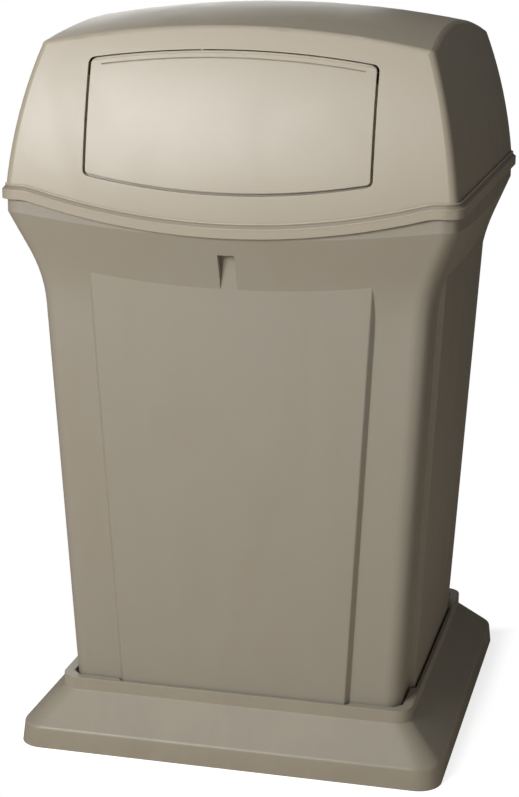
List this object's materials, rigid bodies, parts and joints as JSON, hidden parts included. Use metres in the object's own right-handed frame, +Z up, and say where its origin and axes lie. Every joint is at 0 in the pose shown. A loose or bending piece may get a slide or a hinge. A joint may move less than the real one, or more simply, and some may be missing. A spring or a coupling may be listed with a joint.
{
  "type": "trash can",
  "caption": "Square tapered outdoor trash can on a stepped plinth, with a domed hinged hood and sprung push doors at the front and rear.",
  "frame": {"origin": "on the floor, under the middle of the container", "axes": "+Z up, front door towards -Y, +X to the right as seen from the front"},
  "size_m": [0.632, 0.632, 1.0539],
  "materials": {
    "foam_plastic": "moulded satin",
    "zinc_steel": "zinc plated",
    "spring_steel": "drawn wire",
    "buffer_rubber": "moulded rubber"
  },
  "bodies": {
    "body": {"base_plinth": "foam_plastic", "body_shell": "foam_plastic", "base_screws": "zinc_steel", "base_washers": "zinc_steel", "hinge_pin_left": "zinc_steel", "hinge_pin_right": "zinc_steel", "hinge_pin_nuts": "zinc_steel"},
    "hood": {"hood_shell": "foam_plastic", "front_door_rod": "zinc_steel", "rear_door_rod": "zinc_steel", "front_rod_nuts": "zinc_steel", "rear_rod_nuts": "zinc_steel", "front_door_springs": "spring_steel", "rear_door_springs": "spring_steel"},
    "front_door": {"front_door": "foam_plastic", "front_door_buffers": "buffer_rubber"},
    "rear_door": {"rear_door": "foam_plastic", "rear_door_buffers": "buffer_rubber"}
  },
  "joints": [
    {"name": "hood_hinge", "type": "hinge", "parent": "body", "child": "hood", "pos_m": [0, 0.309, 0.735], "axis": [-1, 0, 0], "range_deg": [0, 100]},
    {"name": "front_door_swing", "type": "hinge", "parent": "hood", "child": "front_door", "pos_m": [0, -0.26185, 0.976], "axis": [1, 0, 0], "range_deg": [0, 65], "stiffness_Nm_per_rad": 0.5, "springref_deg": -34.38, "deforming": ["front_door_springs"]},
    {"name": "rear_door_swing", "type": "hinge", "parent": "hood", "child": "rear_door", "pos_m": [0, 0.26185, 0.976], "axis": [-1, 0, 0], "range_deg": [0, 65], "stiffness_Nm_per_rad": 0.5, "springref_deg": -34.38, "deforming": ["rear_door_springs"]}
  ]
}
